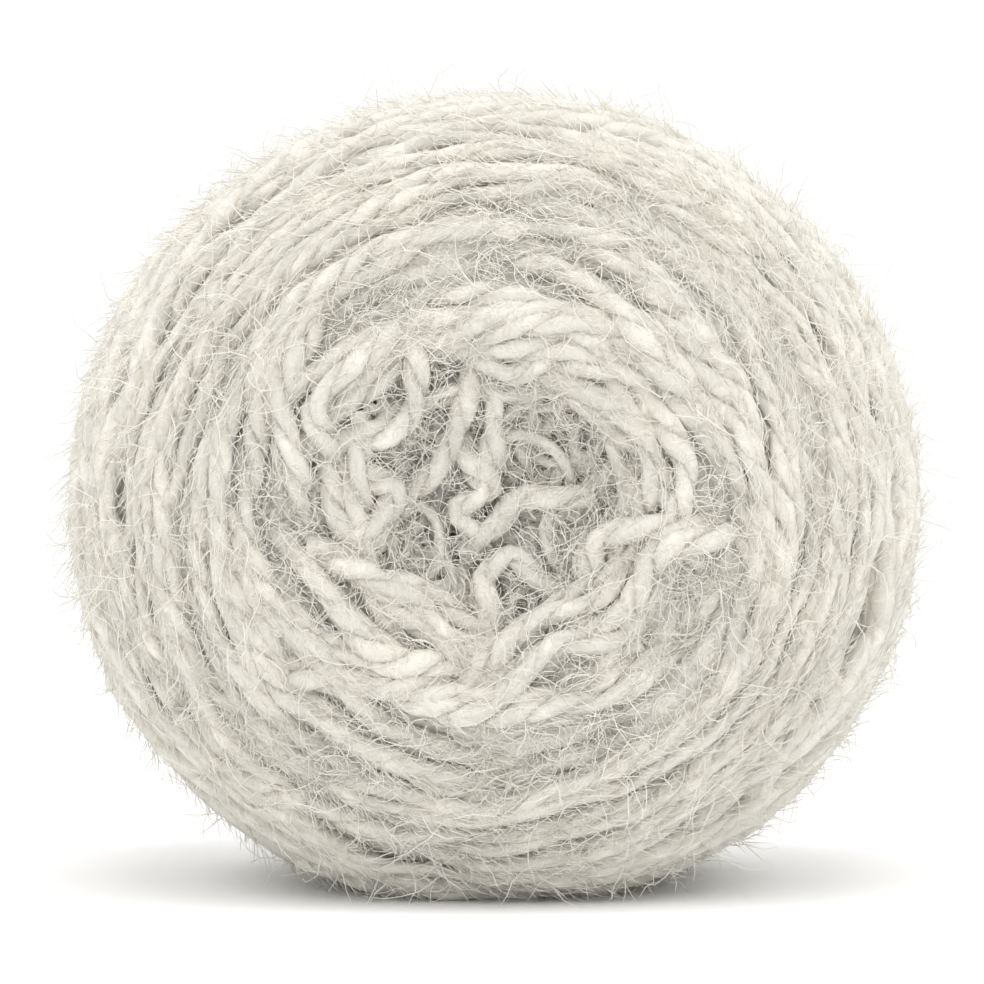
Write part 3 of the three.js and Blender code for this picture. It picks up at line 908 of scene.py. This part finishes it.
def fibre_grain_group():
    """Fine streaks along a ply, from how far along it and round it a place is."""
    graph = Graph(
        "fibre grain",
        "ShaderNodeTree",
        [
            ("Fibre", VECTOR, None),
            ("Streaks", FLOAT, 6.0),
            ("Streak Length", FLOAT, 6 * MM),
            ("Twist", FLOAT, -480.0),
        ],
        [("Shade", FLOAT), ("Height", FLOAT)],
    )
    run = graph.separated(graph.inputs["Fibre"])["Z"]
    angle = graph.maths("MULTIPLY", run, graph.inputs["Twist"])
    values = {"Vector": graph.inputs["Fibre"], "Angle": angle}
    turned = graph.node("ShaderNodeVectorRotate", values, rotation_type="Z_AXIS").outputs[0]
    along = graph.maths("DIVIDE", 1.0, graph.inputs["Streak Length"])
    streaks = graph.inputs["Streaks"]
    place = graph.vector("MULTIPLY", turned, graph.combined(streaks, streaks, along))
    fine = graph.node("ShaderNodeTexNoise", {"Vector": place, "Scale": 1.0, "Detail": 3.0}).outputs[0]
    broad = graph.node("ShaderNodeTexNoise", {"Vector": place, "Scale": 0.35, "Detail": 1.0}).outputs[0]
    shade = graph.maths("MULTIPLY", graph.maths("ADD", fine, broad), 0.5)
    graph.put(graph.outputs["Shade"], graph.ranged(shade, 0.32, 0.66))
    graph.put(graph.outputs["Height"], fine)
    return graph.tree


# Three sets of matted hairs lie over one another: where each starts, and how much finer it is
MATTED_SETS = (((0.0, 0.0, 0.0), 1.0), ((5.3, 2.1, 7.7), 1.5), ((1.9, 8.4, 3.6), 2.2))
SHADOW_SHIFT = 1.6  # how far beside a matted hair its shadow lies, in widths of the hair


def matted_hair_group():
    """Thin curly lines in all directions, as matted hairs make, each with a shadow along one side."""
    graph = Graph(
        "matted hairs",
        "ShaderNodeTree",
        [("Vector", VECTOR, None), ("Size", FLOAT, 8 * MM), ("Line", FLOAT, 0.012)],
        [("Lines", FLOAT), ("Shadows", FLOAT)],
    )
    base = graph.scaled(graph.inputs["Vector"], graph.maths("DIVIDE", 1.0, graph.inputs["Size"]))
    lines = shadows = None
    for shift, scale in MATTED_SETS:
        place = graph.vector("ADD", base, shift)
        values = {"Vector": place, "Scale": scale, "Detail": 1.0, "Distortion": 0.6}
        value = graph.node("ShaderNodeTexNoise", values).outputs[0]
        width = graph.maths("MULTIPLY", graph.inputs["Line"], scale)
        off = graph.maths("SUBTRACT", value, 0.5)
        beside = graph.maths("SUBTRACT", off, graph.maths("MULTIPLY", width, SHADOW_SHIFT))
        line = graph.ranged(graph.maths("ABSOLUTE", off), 0.0, width, 1.0, 0.0)
        shadow = graph.ranged(graph.maths("ABSOLUTE", beside), 0.0, width, 1.0, 0.0)
        lines = line if lines is None else graph.maths("MAXIMUM", lines, line)
        shadows = shadow if shadows is None else graph.maths("MAXIMUM", shadows, shadow)
    graph.put(graph.outputs["Lines"], lines)
    graph.put(graph.outputs["Shadows"], shadows)
    return graph.tree


def colour_drift_group():
    """Slow changes of shade over the yarn, from one colour to another."""
    graph = Graph(
        "colour drift",
        "ShaderNodeTree",
        [
            ("Vector", VECTOR, None),
            ("Size", FLOAT, 12 * MM),
            ("Colour", COLOUR, None),
            ("Other Colour", COLOUR, None),
        ],
        [("Colour", COLOUR)],
    )
    place = graph.scaled(graph.inputs["Vector"], graph.maths("DIVIDE", 1.0, graph.inputs["Size"]))
    value = graph.node("ShaderNodeTexNoise", {"Vector": place, "Scale": 1.0, "Detail": 3.0}).outputs[0]
    factor = graph.ranged(value, 0.35, 0.65)
    mixed = mixed_colour(graph, factor, graph.inputs["Colour"], graph.inputs["Other Colour"])
    graph.put(graph.outputs["Colour"], mixed)
    return graph.tree


YARN_LIGHT = (0.895, 0.868, 0.79, 1.0)
YARN_WARM = (0.865, 0.833, 0.75, 1.0)
# Painted light: the paler colour given to strands low in the pile and to the core, standing in for light
# their fibres pass on
YARN_PAINTED_LIGHT = (0.96, 0.935, 0.865, 1.0)
# Darker colour of the grain's streaks, also used for the painted shade in the ply grooves and the painted
# shadows beside matted hairs
YARN_STREAK_AND_SHADE = (0.64, 0.607, 0.53, 1.0)
FUZZ_LIGHT = (0.94, 0.912, 0.83, 1.0)
FUZZ_WARM = (0.89, 0.861, 0.777, 1.0)
HAIR_LIGHT = (0.945, 0.922, 0.855, 1.0)
HAIR_WARM = (0.90, 0.873, 0.795, 1.0)

# How strongly each step of the yarn's colour shows where it is strongest, from 0 to 1. The groove and matted
# shadow steps are painted shade, the deep step is painted light, and the silk step is partly pale grain and
# partly a painted sheen.
STREAKS_SHOW = 0.32
GRAIN_SHEEN_SHOWS = 0.4
GROOVE_SHADE_SHOWS = 0.3
DEEP_PAINTED_LIGHT_SHOWS = 0.9
MATTED_SHADOWS_SHOW = 0.2
MATTED_LINES_SHOW = 0.5


def material_graph(name):
    """A material with its Principled shader, and short calls to build its tree."""
    material = bpy.data.materials.new(name)
    material.use_nodes = True
    graph = Graph.__new__(Graph)
    graph.tree = material.node_tree
    return material, graph, material.node_tree.nodes["Principled BSDF"].inputs


def shader_attribute(graph, name, output="Fac"):
    return graph.node("ShaderNodeAttribute", attribute_name=name).outputs[output]


def yarn_material(groups):
    """Soft warm-white yarn: streaks along the plies, matted hairs with painted shadows, painted shade in the
    grooves between the plies, a painted sheen on the palest streaks, and painted light that makes places far
    down between strands paler, standing in for the light their fibres pass on."""
    material, graph, shader = material_graph("two-ply yarn")
    place = graph.node("ShaderNodeTexCoord").outputs["Object"]
    fibre = shader_attribute(graph, "fibre", "Vector")
    grain = graph.node("ShaderNodeGroup", node_tree=groups["grain"])
    graph.put(grain.inputs["Fibre"], fibre)
    hairs = graph.node("ShaderNodeGroup", node_tree=groups["hairs"])
    graph.put(hairs.inputs["Vector"], place)
    drift = graph.node("ShaderNodeGroup", node_tree=groups["drift"])
    for name, value in {"Vector": place, "Colour": YARN_LIGHT, "Other Colour": YARN_WARM}.items():
        graph.put(drift.inputs[name], value)

    streaks = graph.ranged(grain.outputs["Shade"], 0.0, 1.0, 0.0, STREAKS_SHOW, soft=False)
    colour = mixed_colour(graph, streaks, drift.outputs["Colour"], YARN_STREAK_AND_SHADE)
    # The palest streaks of the grain are made paler still: partly pale fibres, partly a painted sheen along
    # the plies
    pale_grain_and_sheen = graph.ranged(grain.outputs["Shade"], 0.3, 0.0, 0.0, GRAIN_SHEEN_SHOWS)
    colour = mixed_colour(graph, pale_grain_and_sheen, colour, HAIR_LIGHT)
    # Painted shade: each ply is darkened on the side that faces the other ply, where the crease between them
    # lies in shade
    around = graph.separated(shader_attribute(graph, "around", "Vector"))
    painted_groove_shade = graph.ranged(around["X"], 0.3, -0.4, 0.0, GROOVE_SHADE_SHOWS)
    colour = mixed_colour(graph, painted_groove_shade, colour, YARN_STREAK_AND_SHADE)
    # Painted light: strands that lie lower are made paler, standing in for light that fibres pass down into
    # the hollows
    deep_painted_light = graph.ranged(shader_attribute(graph, "depth"), 0.3, 0.7, 0.0, DEEP_PAINTED_LIGHT_SHOWS)
    colour = mixed_colour(graph, deep_painted_light, colour, YARN_PAINTED_LIGHT)
    dark = graph.maths("MULTIPLY", hairs.outputs["Shadows"], MATTED_SHADOWS_SHOW)
    colour = mixed_colour(graph, dark, colour, YARN_STREAK_AND_SHADE)
    light = graph.maths("MULTIPLY", hairs.outputs["Lines"], MATTED_LINES_SHOW)
    colour = mixed_colour(graph, light, colour, HAIR_LIGHT)
    graph.put(shader["Base Color"], colour)

    height = graph.maths("MULTIPLY_ADD", hairs.outputs["Lines"], 0.25, grain.outputs["Height"])
    bump = graph.node("ShaderNodeBump", {"Height": height, "Strength": 0.55, "Distance": 0.28 * MM})
    graph.put(shader["Normal"], bump.outputs[0])
    roughness = graph.ranged(grain.outputs["Shade"], 0.0, 1.0, 0.85, 0.98, soft=False)
    graph.put(shader["Roughness"], roughness)
    shader["Sheen Weight"].default_value = 0.2
    shader["Sheen Roughness"].default_value = 0.5
    shader["Specular IOR Level"].default_value = 0.15
    return material


def hair_material(groups, name, light, warm):
    """Single hairs, from one colour to another."""
    material, graph, shader = material_graph(name)
    drift = graph.node("ShaderNodeGroup", node_tree=groups["drift"])
    place = graph.node("ShaderNodeTexCoord").outputs["Object"]
    for label, value in {"Vector": place, "Size": 4 * MM, "Colour": light, "Other Colour": warm}.items():
        graph.put(drift.inputs[label], value)
    graph.put(shader["Base Color"], drift.outputs["Colour"])
    shader["Roughness"].default_value = 0.7
    shader["Specular IOR Level"].default_value = 0.3
    return material


# Building


CORE_UNDER = 0.6 * MM  # how far the core's skin lies under the bed of the lowest strands


def core_mesh():
    """The inner form under the strands, a closed skin."""
    rings, columns = 48, 72
    run = np.linspace(0, PROFILE_LENGTH, rings + 2)[1:-1]
    angle = np.arange(columns) * TURN / columns
    points, outward = form(np.repeat(run, columns), np.tile(angle, rings))
    ends, end_outward = form(np.array([0, PROFILE_LENGTH]), np.zeros(2))
    sink = CORE_UNDER - CORE_HEIGHT
    radius = np.interp(np.repeat(run, columns), PROFILE_RUN, PROFILE_RADIUS)
    points = points - outward * (sink + middle_sink(radius))[:, None]
    ends = ends - end_outward * (sink + MIDDLE_SINK)
    points = np.vstack([points, ends])
    points[:, 2] = np.maximum(points[:, 2], FLOOR_GAP)
    faces = []
    for k in range(columns):
        after = (k + 1) % columns
        faces.append((rings * columns, k, after))
        for ring in range(rings - 1):
            a, b = ring * columns, (ring + 1) * columns
            faces.append((a + k, b + k, b + after, a + after))
        last = (rings - 1) * columns
        faces.append((last + k, rings * columns + 1, last + after))
    mesh = bpy.data.meshes.new("cake_core")
    mesh.from_pydata(points.tolist(), [], faces)
    # Depth 1 gives the whole core the full painted light of the lowest strands
    mesh.attributes.new("depth", "FLOAT", "POINT").data.foreach_set("value", np.ones(len(points), np.float32))
    mesh.shade_smooth()
    return mesh


def wound_strands(pile, chance):
    """All the strands, laid from the inside out: the plain inner ones, and the others by piece."""
    inner = base_turns(pile, chance)
    back = filler_loops(pile, chance, count=22, reach=12 * MM, step=PLAIN_STEP, is_back=True)
    back += face_arcs(pile, chance, 8 * MM, 20 * MM, per_turn=3.6, step=PLAIN_STEP, is_back=True)
    back += face_arcs(
        pile, chance, 20 * MM, 48 * MM, per_turn=1.8, step=PLAIN_STEP, is_back=True, lower=UNDER
    )
    middle = filler_loops(pile, chance, count=130, reach=25 * MM, step=PLAIN_STEP)
    middle += face_arcs(pile, chance, 16 * MM, 28 * MM, per_turn=1.8, step=FINE_STEP)
    arcs = face_arcs(pile, chance, 28 * MM, 50 * MM, per_turn=2.0, step=PLAIN_STEP, lower=UNDER)
    barrel = barrel_winding(pile, chance, BARREL_STEP)
    back += face_arcs(pile, chance, 20 * MM, 66 * MM, per_turn=2.2, step=PLAIN_STEP, is_back=True)
    middle += slack_strands(pile, chance)
    arcs += face_arcs(pile, chance, 29 * MM, 67 * MM, per_turn=2.4, step=FINE_STEP)
    return inner, {"front_middle": middle, "front_turns": arcs, "back_turns": back, "barrel_turns": barrel}


# The inner turns are one round ply without a twist that shows
INNER_YARN = {"Ply Offset": 0.0, "Ply Half Height": 2.0 * MM, "Ply Half Width": 2.1 * MM, "Lay": 50.0}

# Long hairs: a curly net over the front's slack middle, looser ones on its turns, a fringe that stands up
# on the rest, and a web over the hollows
NET = {
    "Shortest": 5 * MM,
    "Longest": 12 * MM,
    "Thickness": 0.17 * MM,
    "Rise": 0.35,
    "Spread": math.pi,
    "Bend": 4.5,
    "Curl Size": 3.0 * MM,
    "Curl": 1.1 * MM,
    "Segments": 8,
    "Seed": 3,
}
LOOSE = {**NET, "Longest": 13 * MM, "Thickness": 0.19 * MM, "Bend": 2.4, "Segments": 5}
FRINGE = {**NET, "Longest": 10 * MM, "Thickness": 0.2 * MM, "Rise": 1.1, "Bend": 2.5, "Segments": 4}
WEB = {
    **NET,
    "Density": 560000.0,
    "Shortest": 4 * MM,
    "Longest": 11 * MM,
    "Thickness": 0.15 * MM,
    "Rise": 0.3,
    "Bend": 3.8,
    "Segments": 7,
    "Seed": 14,
}

# Short hairs: fuzz that lies along the strands, felt that goes all ways, and fuzz that stands up on the rest
FUZZ = {
    "Shortest": 2 * MM,
    "Longest": 6.5 * MM,
    "Thickness": 0.16 * MM,
    "Rise": 0.35,
    "Spread": 0.7,
    "Bow": 0.25,
    "More in Hollows": 3.5,
    "Seed": 5,
}
FELT = {
    **FUZZ,
    "Longest": 4.5 * MM,
    "Thickness": 0.14 * MM,
    "Rise": 0.6,
    "Spread": math.pi,
    "Bow": 0.35,
    "Seed": 8,
}
EDGE_FUZZ = {**FUZZ, "Longest": 7 * MM, "Thickness": 0.18 * MM, "Rise": 0.7, "Bow": 0.18, "Seed": 11}

# The strands that each coat grows on, its kind, its settings, and its hairs to a square metre
COATS = [
    ("front_middle", "long_hairs", NET, 42000.0),
    ("front_middle", "fuzz", FELT, 650000.0),
    ("front_turns", "long_hairs", LOOSE, 75000.0),
    ("front_turns", "fuzz", FUZZ, 565000.0),
    ("back_turns", "long_hairs", FRINGE, 26000.0),
    ("back_turns", "fuzz", EDGE_FUZZ, 220000.0),
    ("barrel_turns", "long_hairs", FRINGE, 18500.0),
    ("barrel_turns", "fuzz", EDGE_FUZZ, 120000.0),
    ("inner_turns", "fuzz", FELT, 32000.0),
]


def build():
    """The core, the strands and their hairs, all on the one body."""
    groups = {"grain": fibre_grain_group(), "hairs": matted_hair_group(), "drift": colour_drift_group()}
    yarn = yarn_material(groups)
    hair = hair_material(groups, "loose hair", HAIR_LIGHT, HAIR_WARM)
    short_hair = hair_material(groups, "fuzz", FUZZ_LIGHT, FUZZ_WARM)
    two_ply = yarn_tree("two-ply yarn", 2)
    inner_yarn = yarn_tree("inner yarn", 1)
    trees = {"long_hairs": long_hair_tree(), "fuzz": fuzz_tree()}

    pile = Pile()
    inner, parts = wound_strands(pile, np.random.default_rng(7))
    core = new_object("cake_core", core_mesh())
    core.data.materials.append(yarn)
    values = {**INNER_YARN, "Material": yarn}
    pieces = [core, with_tree(centre_lines("inner_turns", inner, pile), inner_yarn, values)]
    for name, strands in parts.items():
        values = {"Lay": BARREL_LAY if name == "barrel_turns" else LAY, "Material": yarn}
        pieces.append(with_tree(centre_lines(name, strands, pile), two_ply, values))

    pieces.append(with_tree(web_sheet(pile), trees["long_hairs"], {**WEB, "Material": hair}))
    sources = {p.name: p for p in pieces}
    for name, kind, settings, density in COATS:
        piece = new_object(f"{name}_{kind}", sources[name].data.copy())
        values = {**settings, "Density": density, "Material": hair if kind == "long_hairs" else short_hair}
        pieces.append(with_tree(piece, trees[kind], values))
    for piece in pieces:
        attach(piece, "root")
        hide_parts("cake")


# Floor, light and camera

SCALE = 6.447 / MM  # pixels of the photograph to a metre at the cake's widest
PHOTO_SIZE = 984
CAMERA_DISTANCE = 0.9
CAMERA_ELEVATION = math.radians(2.0)
OUTLINE_MIDDLE = (494, 500)
SURROUNDINGS = 0.785  # how strongly they light the cake
BACKGROUND = 1.05  # how bright they look themselves
LIGHTS = {
    "light from above": {"place": (0.05, -0.5, 1.6), "size": 0.9, "power": 6.5},
    "light from the front": {"place": (-0.1, -1.5, 0.9), "size": 1.5, "power": 7.8},
    "light from behind": {"place": (0.15, 1.5, 0.9), "size": 1.5, "power": 4.0},
    "light from the left": {"place": (-1.1, 0.1, 1.3), "size": 0.8, "power": 4.4},
    "light from the right": {"place": (1.1, -0.1, 1.3), "size": 0.8, "power": 5.2},
}
FLOOR_REACH = 0.7


def stage():
    """A plain white floor and surroundings, soft lights on all sides, and the camera."""
    world = bpy.data.worlds.new("white surroundings")
    world.use_nodes = True
    world.node_tree.nodes["Background"].inputs["Color"].default_value = (1, 1, 1, 1)
    nodes, links = world.node_tree.nodes, world.node_tree.links
    seen = nodes.new("ShaderNodeLightPath").outputs["Is Camera Ray"]
    strength = nodes.new("ShaderNodeMapRange")
    strength.inputs["To Min"].default_value = SURROUNDINGS
    strength.inputs["To Max"].default_value = BACKGROUND
    links.new(seen, strength.inputs["Value"])
    links.new(strength.outputs["Result"], nodes["Background"].inputs["Strength"])
    bpy.context.scene.world = world
    bpy.context.scene.view_settings.view_transform = "Standard"

    mesh = bpy.data.meshes.new("floor")
    corners = [(a * FLOOR_REACH, b * FLOOR_REACH, 0) for a, b in ((-1, -1), (1, -1), (1, 1), (-1, 1))]
    mesh.from_pydata(corners, [], [(0, 1, 2, 3)])
    floor = new_object("floor", mesh)
    material = bpy.data.materials.new("white floor")
    material.use_nodes = True
    shader = material.node_tree.nodes["Principled BSDF"].inputs
    shader["Base Color"].default_value = (0.97, 0.97, 0.97, 1)
    shader["Roughness"].default_value = 0.9
    shader["Specular IOR Level"].default_value = 0.1
    floor.data.materials.append(material)

    for name, row in LIGHTS.items():
        light = bpy.data.lights.new(name, "AREA")
        light.shape = "SQUARE"
        light.size = row["size"]
        light.energy = row["power"]
        lamp = bpy.data.objects.new(name, light)
        lamp.location = row["place"]
        lamp.rotation_euler = (Vector((0, 0, AXIS_Z)) - lamp.location).to_track_quat("-Z", "Y").to_euler()
        bpy.context.scene.collection.objects.link(lamp)

    camera_data = bpy.data.cameras.new("camera")
    camera_data.lens = camera_data.sensor_width * CAMERA_DISTANCE * SCALE / PHOTO_SIZE
    camera = bpy.data.objects.new("camera", camera_data)
    middle = PHOTO_SIZE / 2
    aim = Vector(((middle - OUTLINE_MIDDLE[0]) / SCALE, 0, AXIS_Z + (OUTLINE_MIDDLE[1] - middle) / SCALE))
    back = Vector((0, -math.cos(CAMERA_ELEVATION), math.sin(CAMERA_ELEVATION)))
    camera.location = aim + back * CAMERA_DISTANCE
    camera.rotation_euler = (-back).to_track_quat("-Z", "Y").to_euler()
    camera_data.clip_start = 0.01
    bpy.context.scene.collection.objects.link(camera)
    bpy.context.scene.camera = camera


build()
stage()
